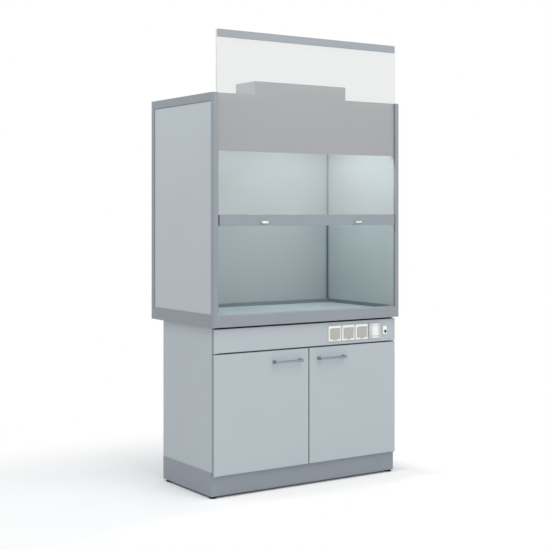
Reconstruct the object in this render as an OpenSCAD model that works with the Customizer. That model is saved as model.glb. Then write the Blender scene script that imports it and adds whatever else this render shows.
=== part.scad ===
// Laboratory fume hood with a counterbalanced glass sash, standing on a base cabinet.
// Millimetres. X runs to the right, Y to the back and Z up.
// The origin lies on the floor, under the middle of the whole object.

/* [Hood] */
// Width over the frame
hood_w = 1200; // [1100:10:1500]
// Depth over the frame
hood_d = 650; // [600:10:750]
// Height of the frame
hood_h = 1175; // [1150:5:1300]
// Height of the frame's underside above the floor
stand_h = 860; // [800:5:950]

/* [Frame] */
// Width of the posts, seen from the front
post_w = 33; // [31:1:40]
// Depth of the front posts
post_d = 45; // [42:1:60]
// Radius of the front posts' outer corner
post_round = 18; // [10:1:20]
// Wall of the extruded profiles
profile_wall = 2.5; // [2:0.5:3]
// Depth of the rear posts
rear_post_d = 32; // [24:1:40]
// Height of the side and rear bottom beams
beam_h = 64; // [56:1:80]
// Height of the front sill
sill_h = 58; // [50:1:70]
// Height of the top beams
top_beam_h = 42; // [38:1:50]
// Sheet of the top beams
beam_sheet = 3; // [2:0.5:4]

/* [Panels] */
// Set-back of the side panels from the frame's faces
panel_recess = 3; // [1:0.5:5]
// Thickness of the outer side panels
panel_t = 2.5; // [1.5:0.5:4]
// Thickness of the liners, the back panel and the roof panel
liner_t = 3; // [2:0.5:4]
// Distance from the back panel's front face to the back of the frame
back_recess = 18; // [12:1:24]
// Leg of the corner trims
trim_leg = 18; // [10:1:25]
// Thickness of the corner trims
trim_t = 1.5; // [1:0.5:3]
// Thickness of the skirting round the worktop
skirt_t = 2; // [1:0.5:4]
// Height of the fascia above its lower edge
fascia_h = 290; // [200:5:330]
// Set-back of the fascia from the hood's front
fascia_set = 16; // [15:0.5:17]
// Sheet of the fascia
fascia_t = 1.5; // [1:0.5:2]
// Depth of the fascia's lower fold
fascia_fold = 20; // [10:1:28]

/* [Worktop] */
// Height of the worktop's upper face above the frame's underside
worktop_z = 44; // [40:1:50]
// Thickness of the worktop
worktop_t = 20; // [16:1:24]
// Width of the worktop's bearers
bearer_w = 30; // [20:1:50]
// Number of the worktop's bearers
bearer_count = 3; // [2:1:4]

/* [Sash] */
// Height of the whole sash
sash_h = 985; // [900:5:1000]
// Upward travel left above the resting height
sash_up = 315; // [200:1:320]
// Thickness of the glass
glass_t = 4; // [3:0.5:5]
// Set-back of the glass from the hood's front
glass_set = 8; // [7.5:0.5:9]
// Bite of the glass into each post
glass_bite = 7; // [5:0.5:7]
// Width of the slot for the glass
slot_w = 7; // [6.5:0.5:8]
// Thickness of the slot's sealing strips
seal_t = 1.2; // [0.8:0.1:1.2]
// Height of the bottom rail
rail_h = 57; // [45:1:70]
// Thickness of the bottom rail
rail_t = 15.5; // [15:0.5:16]
// Distance that the bottom rail stands in front of the posts
rail_proud = 1; // [0:0.5:2]
// Gap between each end of the bottom rail and its post
rail_gap = 3; // [1:0.5:5]
// Height of the top rail
top_rail_h = 38; // [25:1:50]
// Thickness of the top rail's front leg
top_rail_front = 3.3; // [2:0.1:4]
// Thickness of the top rail's rear leg
top_rail_rear = 2; // [1:0.5:2.5]
// Distance from the middle to each pull
pull_x = 300; // [200:5:400]
// Height of the pulls above the rail's lower edge
pull_z = 18; // [12:1:30]
// Reach of the pulls in front of the rail
pull_reach = 18; // [17:1:35]
// Diameter of the pulls' bars
pull_bar_d = 12; // [8:0.5:14]
// Length of the pulls' bars
pull_bar_l = 38; // [30:1:60]
// Diameter of the pulls' stems
pull_stem_d = 7; // [5:0.5:8]

/* [Lift] */
// Radius of the pulleys at the cable's centre
pulley_r = 75; // [65:1:80]
// Width of the pulleys
pulley_w = 12; // [10:0.5:14]
// Height of the pulleys' rims over the cable's centre
pulley_rim = 4; // [3:0.5:5]
// Diameter of the pulleys' axles
axle_d = 12; // [8:1:16]
// Running clearance of the axles and pins, on the radius
run_gap = 0.05; // [0.03:0.01:0.08]
// Diameter of the lifting cables
cable_d = 3; // [2:0.5:3]
// Set-back of the cable's front run from the hood's front
cable_set = 24; // [22:0.5:28]
// Thickness of the counterweights
weight_t = 20; // [16:1:21]
// Height of the counterweights
weight_h = 165; // [100:5:170]
// Sheet of the counterweights' guides
guide_t = 1.2; // [1:0.1:1.5]
// Depth of the guides over the counterweights' edges
guide_d = 12; // [8:1:20]

/* [Roof] */
// Length of the lamp housing
lamp_w = 583; // [580:1:700]
// Share of the hood's depth that the lamp housing takes
lamp_share = 0.2923; // [0.25:0.0001:0.3]
// Height of the lamp housing above the frame
lamp_h = 80; // [50:5:120]
// Share of the hood's depth in front of the lamp housing
lamp_front = 0.1415; // [0.12:0.0005:0.16]
// Sheet of the lamp housing
lamp_sheet = 1.5; // [1:0.5:2]
// Thickness of the lamp pane
pane_t = 5; // [4:1:6]
// Width of the lamp holders at the tubes' ends
holder_w = 15.5; // [10:0.5:30]
// Diameter of the lamp tubes
tube_d = 16; // [14:1:26]
// Outer radius of the exhaust collar
collar_r = 100; // [62.5:0.5:125]
// Sheet of the exhaust collar
collar_t = 1.5; // [1:0.5:3]
// Height of the exhaust collar above the frame
collar_h = 75; // [50:5:120]
// Share of the hood's depth in front of the collar's middle
collar_share = 0.72; // [0.7:0.001:0.73]

/* [Cabinet] */
// Set-back of the cabinet from each side of the hood
cab_inset = 19; // [14:1:24]
// Set-back of the doors' faces from the hood's front
door_set = 22; // [15:1:40]
// Set-back of the cabinet from the hood's back
cab_back = 100; // [50:5:150]
// Thickness of the cabinet's boards
board_t = 18; // [16:1:22]
// Thickness of the cabinet's back
back_t = 8; // [4:1:10]
// Set-back of the plinth from each side of the hood
plinth_inset = 16; // [8:1:18]
// Height of the plinth
plinth_h = 118; // [90:1:150]
// Sheet of the plinth
plinth_t = 3; // [2:0.5:4]
// Height of the control panel
control_h = 119; // [100:1:140]
// Gap between the control panel and the hood
control_gap = 11; // [6:1:16]
// Height of the shelf above the cabinet's bottom
shelf_z = 280; // [150:5:350]

/* [Doors] */
// Thickness of the doors
door_t = 16; // [14:1:18]
// Gap between the doors and the cabinet's front
door_clear = 2.5; // [2.5:0.5:3]
// Gap between the doors and the control panel
door_top_gap = 8; // [6:0.5:10]
// Distance that the doors hang below the cabinet's bottom
door_drop = 15; // [5:1:20]
// Gap between the two doors
door_gap = 6; // [2:0.5:8]
// Diameter of the hinge pins
pin_d = 6; // [5:0.5:7]
// Length of the hinge pins in the doors
pin_l = 14; // [8:1:20]
// Distance from a door's edge to its hinge pin
pin_edge = 6; // [5:0.5:6]
// Sheet of the hinge brackets
bracket_t = 3; // [2:0.5:3]
// Distance between the posts of a handle
handle_pitch = 160; // [96:1:200]
// Diameter of the handles' bars
handle_d = 11; // [8:1:13]
// Diameter of the handles' posts
handle_post_d = 16; // [14:1:20]
// Reach of the handles in front of the doors
handle_reach = 36; // [25:1:45]
// Distance from the handles to the doors' tops
handle_drop = 57; // [40:1:90]
// Distance from the handle's middle to the middle of the hood
handle_x = 141; // [120:1:300]

/* [Electrics] */
// Width and height of the socket and switch plates
plate_w = 80; // [76:1:84]
// Gap between neighbouring plates
plate_gap = 10; // [8:1:20]
// Thickness of the plates
plate_t = 8; // [6:0.5:10]
// Distance from the panel's right end to the light switch's middle
plate_end = 146; // [130:1:180]
// Radius of the socket wells
well_r = 19.5; // [18:0.5:20]
// Depth of the socket wells
well_d = 17; // [12:0.5:20]
// Width of the socket lids
lid_w = 64; // [58:1:66]
// Height of the socket lids
lid_h = 58; // [54:1:60]
// Thickness of the socket lids
lid_t = 4.5; // [3:0.5:5]
// Width of the light switch's rocker
rocker_w = 65; // [55:1:66]
// Height of the light switch's rocker
rocker_h = 53; // [45:1:56]
// Bulge of the light switch's rocker, in front of its plate
rocker_bulge = 4; // [2:0.5:6]
// Tilt of the rocker at rest
rocker_tilt = 4; // [3:0.5:5]
// Width of the fan switch
fan_w = 25; // [22:1:28]
// Height of the fan switch
fan_h = 45; // [40:1:60]
// Thickness of the fan switch's face
fan_t = 6; // [4:0.5:8]
// Distance from the panel's right end to the fan switch's middle
fan_end = 73.5; // [60:0.5:80]

/* [Feet] */
// Height of the plinth above the floor
foot_gap = 12; // [11:1:25]
// Diameter of the foot discs
foot_d = 40; // [30:1:50]
// Thickness of the foot discs
foot_t = 10; // [5:0.5:10]
// Diameter of the feet's studs
stud_d = 10; // [8:1:12]
// Length of the feet's studs
stud_l = 60; // [40:1:80]
// Set-back of the feet from the plinth's sides
foot_inset = 22; // [21:1:40]

/* [Hidden] */
$fn = 64;
// Clearances between pieces that move past each other
slide_gap = 0.3;
touch_gap = 0.5;

// Frame, measured from the hood's outer side, front and underside
outer_x = hood_w / 2;
inner_x = outer_x - post_w;
bay_x = inner_x + liner_t;
front_y = (max(pull_reach + rail_proud, handle_reach - door_set) - hood_d) / 2;
rear_post_y = hood_d - rear_post_d;
back_y = hood_d - back_recess;
roof_z = hood_h - top_beam_h;
panel_in = panel_recess + panel_t;
slot_mid = glass_set + glass_t / 2;
slot_y = slot_mid - slot_w / 2;
post_lip = 2.5;
liner_y = slot_y + slot_w + touch_gap;
fascia_z = hood_h - fascia_h;
collar_y = hood_d * collar_share;
lamp_set = hood_d * lamp_front;
lamp_d = hood_d * lamp_share;
lamp_z = roof_z + liner_t;
lamp_top = hood_h + lamp_h - lamp_sheet;
tube_y = [lamp_set + lamp_d / 3, lamp_set + 2 * lamp_d / 3];
tube_z = (lamp_z + pane_t + lamp_top) / 2;
tube_l = lamp_w - 2 * (lamp_sheet + holder_w);

// Sash, measured the same way
stop_gap = 6;
sash_z = fascia_z - stop_gap - rail_h - sash_up;
sash_raise = sash_z - sill_h;
rail_back = rail_t - rail_proud;
glass_foot = 15;
tongue_z = 2;
tongue_h = 11;

// Lift
lift_x = (panel_in + post_w - liner_t) / 2;
pulley_y = cable_set + pulley_r;
pulley_z = hood_h - 7 - pulley_r - pulley_rim;
drop_y = cable_set + 2 * pulley_r;
weight_stop = 10;
weight_z = pulley_z - pulley_r - pulley_rim - weight_stop - sash_raise - weight_h;
weight_front = post_d + guide_t + 2 + touch_gap;
weight_d = 2 * (drop_y - weight_front);
lug_h = 10;
top_web = 3;
shoe_w = 16;
shoe_x = post_w - glass_bite - touch_gap - shoe_w;

// Cabinet, measured from the floor and the hood's front
carcass_x = outer_x - cab_inset;
carcass_y = door_set + door_t + door_clear;
carcass_back = hood_d - cab_back;
carcass_z = foot_gap + plinth_h;
control_z = stand_h - control_gap - control_h;
deck_z = control_z - board_t;
door_z = carcass_z - door_drop;
door_h = control_z - door_top_gap - door_z;
pin_y = door_set + door_t / 2;
plinth_x = outer_x - plinth_inset;
plinth_back = carcass_back - 5;
foot_x = plinth_x - foot_inset;
foot_back = foot_inset + 14;
foot_y = [foot_inset + carcass_y, plinth_back - foot_back];
plate_z = control_z + control_h / 2;
plate_x = carcass_x - plate_end;
fan_x = carcass_x - fan_end;
socket_x = [for (i = [3:-1:1]) plate_x - i * (plate_w + plate_gap)];
back_box_r = 30;
back_box_d = 40;
fan_box = [16, 30];
fan_box_d = 25;
fan_pin_r = 1;
fan_edge = 4;
fan_axis_y = 3;
lid_pin_r = 1.5;
pin_reach = 3;
lid_barrel_r = 3;
lid_axis_z = lid_h / 2 - 4;
lid_axis_y = plate_t + slide_gap + lid_barrel_r;
rocker_axis_y = 4;

frame_grey = "#9ca2aa";
panel_grey = "#b3bbc3";
plinth_grey = "#8c949b";

// A box from its lowest to its highest corner
module block(low, high) {
    translate(low)
        cube(high - low);
}

// A rectangle with round corners, from the origin
module rounded(size, r) {
    translate([r, 0])
        square([size.x - 2 * r, size.y]);
    translate([0, r])
        square([size.x, size.y - 2 * r]);
    for (x = [r, size.x - r], y = [r, size.y - r])
        translate([x, y])
            circle(r);
}

// A tube along Z, with a rectangular section
module box_tube(low, high, wall, axis) {
    in = [for (i = [0:2]) i == axis ? -1 : wall];
    difference() {
        block(low, high);
        block(low + in, high - in);
    }
}

// Children drawn for the left side, with X from the side inwards and Y from the front
module on_side(right) {
    mirror([right ? 1 : 0, 0, 0])
        translate([-outer_x, front_y, 0])
            children();
}

// The same, with Z from the hood's underside
module hood_side(right) {
    translate([0, 0, stand_h])
        on_side(right)
            children();
}

// Children with X from the middle, Y from the hood's front and Z from the hood's underside
module hood_middle() {
    translate([0, front_y, stand_h])
        children();
}

// Children with X from the middle, Y from the hood's front and Z from the floor
module floor_middle() {
    translate([0, front_y, 0])
        children();
}

// Outline of a front post: a round outer corner, a slot for the glass and two rebates
module post_outline() {
    rear = post_d - post_round;
    intersection() {
        translate([post_round, post_round])
            circle(post_round, $fn = 96);
        square(post_round);
    }
    translate([post_round, 0])
        square([post_w - post_round, slot_y + slot_w]);
    translate([post_round, slot_y + slot_w])
        square([post_w - liner_t - post_round, post_d - slot_y - slot_w]);
    translate([panel_in, post_round])
        square([post_w - liner_t - panel_in, rear]);
}

// Hollow of a front post, with the slot
module post_hollow() {
    in = panel_in + profile_wall;
    intersection() {
        translate([post_round, post_round])
            circle(post_round - profile_wall, $fn = 96);
        square([post_round, post_round - profile_wall]);
    }
    translate([post_round - 1, profile_wall])
        square([post_w - post_lip - post_round + 1, slot_y - profile_wall + 1]);
    translate([post_round - 1, slot_y])
        square([post_w - post_round + 2, slot_w]);
    translate([in, post_round - profile_wall - 2])
        square([post_w - liner_t - profile_wall - in, post_d - post_round + 2]);
}

module front_post(right) {
    cap = 2;
    slot_x = pulley_w + 3;
    color(frame_grey)
        hood_side(right)
            difference() {
                linear_extrude(hood_h)
                    post_outline();
                translate([0, 0, -1])
                    linear_extrude(hood_h - cap + 1)
                        post_hollow();
                block(
                    [lift_x - slot_x / 2, post_d - profile_wall - 1, pulley_z - pulley_r - pulley_rim - 3],
                    [lift_x + slot_x / 2, post_d + 1, hood_h - cap]
                );
                block(
                    [post_w - glass_bite - 1, slot_y, hood_h - cap - 1],
                    [post_w + 1, slot_y + slot_w, hood_h + 1]
                );
            }
}

module rear_post(right) {
    fin = 10;
    color(frame_grey)
        hood_side(right) {
            translate([0, rear_post_y])
                linear_extrude(hood_h)
                    difference() {
                        square([post_w - liner_t, rear_post_d]);
                        translate([profile_wall, profile_wall])
                            square([post_w - liner_t, rear_post_d] - [2, 2] * profile_wall);
                    }
            block(
                [profile_wall, rear_post_y + profile_wall, hood_h - 2],
                [post_w - liner_t - profile_wall, hood_d - profile_wall, hood_h]
            );
            block([post_w - liner_t, back_y + liner_t, beam_h], [post_w - liner_t + fin, hood_d, roof_z]);
        }
}

module sill_beam() {
    edge = 3;
    color(frame_grey)
        hood_middle()
            rotate([90, 0, 90])
                translate([0, 0, -inner_x])
                    linear_extrude(2 * inner_x)
                        difference() {
                            union() {
                                square([post_d, sill_h - edge]);
                                translate([edge, 0])
                                    square([post_d - edge, sill_h]);
                                translate([edge, sill_h - edge])
                                    circle(edge);
                            }
                            translate([profile_wall, profile_wall])
                                square([post_d, sill_h] - [2, 2] * profile_wall);
                        }
}

// Side and rear bottom beams with the worktop's bearers
module base_frame() {
    under = worktop_z - worktop_t;
    pitch = 2 * inner_x / (bearer_count + 1);
    color(frame_grey) {
        for (right = [false, true])
            hood_side(right) {
                box_tube([0, post_d, 0], [post_w, rear_post_y, beam_h], profile_wall, 1);
                block([0, post_round, 0], [panel_in, post_d, beam_h]);
            }
        hood_middle() {
            box_tube([-bay_x, rear_post_y, 0], [bay_x, hood_d, beam_h], profile_wall, 0);
            for (i = [1:bearer_count])
                translate([i * pitch - inner_x, 0, 0])
                    box_tube([-bearer_w / 2, post_d, 0], [bearer_w / 2, rear_post_y, under], 2, 1);
        }
    }
}

// Top beams: open channels at the sides, closed tubes at the front and the back
module top_frame() {
    color(frame_grey) {
        for (right = [false, true])
            hood_side(right) {
                block([0, post_d, roof_z], [beam_sheet, rear_post_y, hood_h]);
                block([0, post_d, hood_h - beam_sheet], [post_w, rear_post_y, hood_h]);
                block([post_w - liner_t, post_d, roof_z + liner_t], [post_w, rear_post_y, hood_h]);
                block([0, post_round, roof_z], [panel_in, post_d, hood_h]);
            }
        hood_middle() {
            box_tube([-bay_x, fascia_set + fascia_t, roof_z], [bay_x, post_d, hood_h], profile_wall, 0);
            box_tube([-bay_x, rear_post_y, roof_z], [bay_x, hood_d, hood_h], profile_wall, 0);
        }
    }
}

module side_panel(right) {
    color(panel_grey)
        hood_side(right)
            block([panel_recess, post_round, beam_h], [panel_in, rear_post_y, roof_z]);
}

module side_liner(right) {
    color("#a2b0b5")
        hood_side(right) {
            block([post_w - liner_t, liner_y, beam_h], [post_w, back_y, roof_z]);
            block([post_w - liner_t, liner_y, 0], [post_w, post_d, beam_h]);
        }
}

module back_panel() {
    color("#a2b0b5")
        hood_middle()
            block([-bay_x, back_y, beam_h], [bay_x, back_y + liner_t, roof_z]);
}

// Dark angles in the two rear corners of the chamber, and a skirting round the worktop
module corner_trims() {
    low = worktop_z - worktop_t;
    color("#59636b")
        for (right = [false, true])
            hood_side(right)
                translate([post_w, back_y - trim_leg, beam_h])
                    linear_extrude(roof_z - beam_h)
                        difference() {
                            square(trim_leg);
                            translate([trim_t, -1])
                                square([trim_leg, trim_leg - trim_t + 1]);
                        }
    color("#59636b") {
        for (right = [false, true])
            hood_side(right)
                block([post_w, post_d, low], [post_w + skirt_t, rear_post_y, beam_h]);
        hood_middle()
            block([-inner_x, rear_post_y - skirt_t, low], [inner_x, rear_post_y, beam_h]);
    }
}

// Folded sheet behind the sash, hung on the top front beam
module fascia() {
    lip = 10;
    color(frame_grey)
        hood_middle()
            rotate([90, 0, 90])
                translate([fascia_set, fascia_z, -inner_x])
                    linear_extrude(2 * inner_x) {
                        square([fascia_t, fascia_h]);
                        square([fascia_fold, fascia_t]);
                        translate([fascia_fold - fascia_t, 0])
                            square([fascia_t, lip]);
                    }
}

module roof_panel() {
    edge = 12;
    color("#a2b0b5")
        hood_middle()
            difference() {
                block([-bay_x, post_d, roof_z], [bay_x, rear_post_y, roof_z + liner_t]);
                translate([0, collar_y, roof_z - 1])
                    cylinder(h = liner_t + 2, r = collar_r - collar_t);
                block(
                    [edge - lamp_w / 2, lamp_set + edge, roof_z - 1],
                    [lamp_w / 2 - edge, lamp_set + lamp_d - edge, roof_z + liner_t + 1]
                );
            }
}

module worktop() {
    color("#a9b8ba")
        hood_middle()
            block(
                [skirt_t - inner_x, post_d, worktop_z - worktop_t],
                [inner_x - skirt_t, rear_post_y - skirt_t, worktop_z]
            );
}

// Flanged collar for a round duct
module exhaust_collar() {
    flange = 18;
    color("#a8afb7")
        hood_middle()
            translate([0, collar_y, lamp_z])
                rotate_extrude($fn = 96)
                    translate([collar_r - collar_t, 0]) {
                        square([collar_t, hood_h + collar_h - lamp_z]);
                        square([flange, collar_t]);
                    }
}

module lamp_housing() {
    color("#b0b2b5")
        hood_middle()
            difference() {
                block([-lamp_w / 2, lamp_set, lamp_z], [lamp_w / 2, lamp_set + lamp_d, hood_h + lamp_h]);
                block(
                    [lamp_sheet - lamp_w / 2, lamp_set + lamp_sheet, lamp_z - 1],
                    [lamp_w / 2 - lamp_sheet, lamp_set + lamp_d - lamp_sheet, lamp_top]
                );
            }
}

module lamp_pane() {
    edge = 3;
    color("#e4f0ee", 0.5)
        hood_middle()
            block(
                [edge - lamp_w / 2, lamp_set + edge, lamp_z],
                [lamp_w / 2 - edge, lamp_set + lamp_d - edge, lamp_z + pane_t]
            );
}

module lamp_tubes() {
    cap = 12;
    color("#f4f6f4")
        hood_middle()
            for (y = tube_y)
                translate([-tube_l / 2, y, tube_z])
                    rotate([0, 90, 0]) {
                        cylinder(h = tube_l, d = tube_d - 1);
                        cylinder(h = cap, d = tube_d);
                        translate([0, 0, tube_l - cap])
                            cylinder(h = cap, d = tube_d);
                    }
}

module lamp_holders() {
    half = 12;
    color("#f0f0ec")
        hood_middle()
            for (right = [0, 1], y = tube_y)
                mirror([right, 0, 0])
                    block(
                        [tube_l / 2, y - half, tube_z - half],
                        [lamp_w / 2 - lamp_sheet, y + half, lamp_top]
                    );
}

// Dark strips on both sides of each glass slot
module sash_seals() {
    rear_x = post_w - liner_t;
    color("#2b2d30")
        for (right = [false, true])
            hood_side(right) {
                block([post_w - post_lip, slot_y, 0], [post_w, slot_y + seal_t, hood_h]);
                block(
                    [rear_x - profile_wall, slot_y + slot_w - seal_t, 0],
                    [rear_x, slot_y + slot_w, hood_h]
                );
            }
}

// Forked brackets under the side beams, with the axles
module pulley_brackets() {
    plate = 2;
    inside = pulley_w / 2 + 2.5;
    out = inside + plate;
    half = 30;
    top = hood_h - beam_sheet;
    color("#8d949b")
        for (right = [false, true])
            hood_side(right)
                translate([lift_x, pulley_y, 0]) {
                    block([-out, -half, pulley_z - 20], [-inside, half, top]);
                    block([inside, -half, pulley_z - 20], [out, half, top]);
                    block([-out, -half, top - plate], [out, half, top]);
                    translate([-out, 0, pulley_z])
                        rotate([0, 90, 0])
                            cylinder(h = 2 * out, d = axle_d);
                }
}

// Channels that lead the front and rear edges of the counterweights
module weight_guides() {
    inside = weight_t / 2 + touch_gap;
    out = inside + guide_t;
    reach = drop_y - post_d;
    leg = reach - weight_d / 2 + guide_d;
    top = pulley_z - pulley_r - pulley_rim - 5;
    spacer_h = 30;
    color("#8d949b")
        for (right = [false, true], end = [0, 1])
            hood_side(right)
                translate([lift_x, drop_y, 0])
                    mirror([0, end, 0])
                        translate([0, -reach, 0]) {
                            block([-out, 0, beam_h], [out, guide_t, top]);
                            block([-out, 0, beam_h], [-inside, leg, top]);
                            block([inside, 0, beam_h], [out, leg, top]);
                            for (z = [0.1, 0.5, 0.9] * top)
                                block([out, 0, z], [post_w - liner_t - lift_x, leg, z + spacer_h]);
                        }
}

// Upper halves of the cables, over the pulleys
module cable_bends() {
    color("#5c6166")
        for (right = [false, true])
            hood_side(right)
                translate([lift_x, pulley_y, pulley_z])
                    rotate([90, 0, 90])
                        rotate_extrude(angle = 180, $fn = 96)
                            translate([pulley_r, 0])
                                circle(d = cable_d, $fn = 24);
}

module cable_drops(y, low) {
    color("#5c6166")
        for (right = [false, true])
            hood_side(right)
                translate([lift_x, y, low])
                    cylinder(h = pulley_z - low, d = cable_d, $fn = 24);
}

module sash_glass() {
    half = inner_x + glass_bite;
    color("#dfeeea", 0.4)
        hood_middle()
            block(
                [-half, glass_set, sash_z + glass_foot],
                [half, glass_set + glass_t, sash_z + sash_h - top_web]
            );
}

module sash_top_rail() {
    half = inner_x - 1.5;
    color("#a8afb7")
        hood_middle()
            rotate([90, 0, 90])
                translate([glass_set, sash_z + sash_h - top_rail_h, -half])
                    linear_extrude(2 * half)
                        difference() {
                            translate([-top_rail_front, 0])
                                square([top_rail_front + glass_t + top_rail_rear, top_rail_h]);
                            translate([0, -1])
                                square([glass_t, top_rail_h + 1 - top_web]);
                        }
}

module sash_bottom_rail() {
    half = inner_x - rail_gap;
    wall = 2.5;
    color("#9ba1a9")
        hood_middle()
            rotate([90, 0, 90])
                translate([0, sash_z, -half])
                    linear_extrude(2 * half)
                        difference() {
                            translate([-rail_proud, 0])
                                rounded([rail_t, rail_h], 1);
                            translate([wall - rail_proud, wall])
                                square([glass_set + rail_proud - wall - 2, rail_h - 2 * wall]);
                            translate([glass_set, glass_foot])
                                square([glass_t, rail_h]);
                            translate([glass_set, tongue_z])
                                square([glass_t, tongue_h]);
                        }
}

// Two small crossbar pulls on round stems
module sash_pulls() {
    rose_t = 2;
    rose_d = pull_stem_d + 8;
    bar_y = pull_bar_d / 2 - rail_proud - pull_reach;
    color("#c9ccd0")
        hood_middle()
            for (x = [-pull_x, pull_x])
                translate([x, 0, sash_z + pull_z]) {
                    translate([0, -rail_proud, 0])
                        rotate([90, 0, 0]) {
                            cylinder(h = rose_t, d = rose_d);
                            cylinder(h = -rail_proud - bar_y, d = pull_stem_d);
                        }
                    translate([-pull_bar_l / 2, bar_y, 0])
                        rotate([0, 90, 0])
                            cylinder(h = pull_bar_l, d = pull_bar_d);
                }
}

// Blocks that run inside the front posts and carry the rail by their tongues
module sash_shoes() {
    rear = post_d - profile_wall - 2.5;
    tongue_end = post_w + rail_gap + 20;
    color("#d8d8d2")
        for (right = [false, true])
            hood_side(right)
                translate([0, 0, sash_z]) {
                    block([shoe_x, glass_set, 0], [shoe_x + shoe_w, rear, rail_h]);
                    block(
                        [shoe_x + shoe_w - 1, glass_set, tongue_z],
                        [tongue_end, glass_set + glass_t, tongue_z + tongue_h]
                    );
                }
}

module counterweight(right) {
    color("#6d7277")
        hood_side(right)
            translate([lift_x, drop_y, weight_z]) {
                block([-weight_t / 2, -weight_d / 2, 0], [weight_t / 2, weight_d / 2, weight_h]);
                translate([0, 0, weight_h - 1])
                    cylinder(h = lug_h + 1, d = 8);
            }
}

// A grooved wheel with round holes in its web
module pulley(right) {
    rim = pulley_r + pulley_rim;
    floor_r = pulley_r - cable_d / 2 - slide_gap;
    bore = axle_d / 2 + run_gap;
    groove = cable_d / 2 + slide_gap;
    hub = axle_d / 2 + 10;
    web_r = floor_r - 6;
    hole_d = 24;
    color("#e2e2dc")
        hood_side(right)
            translate([lift_x, pulley_y, pulley_z])
                rotate([0, 90, 0])
                    difference() {
                        rotate_extrude($fn = 96)
                            difference() {
                                translate([bore, -pulley_w / 2])
                                    square([rim - bore, pulley_w]);
                                polygon([
                                    [floor_r, -groove], [rim + 1, 1 - pulley_w / 2],
                                    [rim + 1, pulley_w / 2 - 1], [floor_r, groove]
                                ]);
                                for (side = [0, 1])
                                    mirror([0, side])
                                        translate([hub, 2])
                                            square([web_r - hub, pulley_w]);
                            }
                        for (i = [0:4])
                            rotate(i * 72)
                                translate([(hub + web_r) / 2, 0, 0])
                                    cylinder(h = pulley_w, d = hole_d, center = true);
                    }
}

module cabinet_side(right) {
    color("#a9b2b6")
        on_side(right)
            block([cab_inset, carcass_y, carcass_z], [cab_inset + board_t, carcass_back, stand_h]);
}

// A level board between the cabinet's sides
module cabinet_board(z, set) {
    half = carcass_x - board_t;
    color("#a9b2b6")
        floor_middle()
            block([-half, carcass_y + set, z], [half, carcass_back - back_t, z + board_t]);
}

module cabinet_back() {
    half = carcass_x - board_t;
    color("#a9b2b6")
        floor_middle()
            block([-half, carcass_back - back_t, carcass_z], [half, carcass_back, stand_h]);
}

// Fixed front above the doors, with holes for the sockets and switches
module control_panel() {
    color(panel_grey)
        floor_middle()
            difference() {
                block([-carcass_x, door_set, control_z], [carcass_x, carcass_y, control_z + control_h]);
                for (x = concat(socket_x, [plate_x]))
                    translate([x, door_set - 1, plate_z])
                        rotate([-90, 0, 0])
                            cylinder(h = carcass_y - door_set + 2, r = back_box_r + touch_gap);
                block(
                    [fan_x - fan_box[0] / 2 - touch_gap, door_set - 1, plate_z - fan_box[1] / 2 - touch_gap],
                    [fan_x + fan_box[0] / 2 + touch_gap, carcass_y + 1, plate_z + fan_box[1] / 2 + touch_gap]
                );
            }
}

// Steel box with an open middle, and a threaded block over each foot
module plinth() {
    flange = 2 * foot_inset + 6;
    nut = 15;
    nut_h = 30;
    color(plinth_grey)
        floor_middle()
            difference() {
                union() {
                    difference() {
                        block([-plinth_x, carcass_y, foot_gap], [plinth_x, plinth_back, carcass_z]);
                        block(
                            [plinth_t - plinth_x, carcass_y + plinth_t, foot_gap + plinth_t],
                            [plinth_x - plinth_t, plinth_back - plinth_t, carcass_z - plinth_t]
                        );
                        block(
                            [flange - plinth_x, carcass_y + flange, foot_gap - 1],
                            [plinth_x - flange, plinth_back - flange - foot_back + foot_inset, carcass_z + 1]
                        );
                    }
                    for (x = [-foot_x, foot_x], y = foot_y)
                        block([x - nut, y - nut, foot_gap + 1], [x + nut, y + nut, foot_gap + nut_h]);
                }
                for (x = [-foot_x, foot_x], y = foot_y)
                    translate([x, y, foot_gap - 1])
                        cylinder(h = nut_h + 2, r = stud_d / 2 + run_gap);
            }
}

// Plates above and below the doors, with the pins that the doors turn on, and a catch for each door
module hinge_brackets() {
    catch_x = outer_x - 45;
    catch_w = 44;
    catch_d = 18;
    catch_h = 14;
    plate_l = 30;
    low = door_z - touch_gap;
    color("#8d949b")
        for (right = [false, true])
            on_side(right) {
                translate([cab_inset + 1, 0, 0]) {
                    block([0, door_set + 3, control_z - bracket_t], [plate_l, carcass_y, control_z]);
                    block([0, door_set + 3, low - bracket_t], [plate_l, carcass_y, low]);
                }
                translate([cab_inset + pin_edge, pin_y, 0]) {
                    translate([0, 0, low - 1])
                        cylinder(h = pin_l + touch_gap + 1, d = pin_d);
                    translate([0, 0, door_z + door_h - pin_l])
                        cylinder(h = pin_l + door_top_gap - 1, d = pin_d);
                }
                block(
                    [catch_x - catch_w / 2, door_set + door_t + touch_gap, deck_z - catch_h],
                    [catch_x + catch_w / 2, carcass_y + catch_d, deck_z]
                );
            }
}

module door(right) {
    color(panel_grey)
        on_side(right)
            difference() {
                block(
                    [cab_inset, door_set, door_z],
                    [outer_x - door_gap / 2, door_set + door_t, door_z + door_h]
                );
                for (z = [door_z - 1, door_z + door_h - pin_l - 1])
                    translate([cab_inset + pin_edge, pin_y, z])
                        cylinder(h = pin_l + 2, r = pin_d / 2 + run_gap);
            }
}

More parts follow.
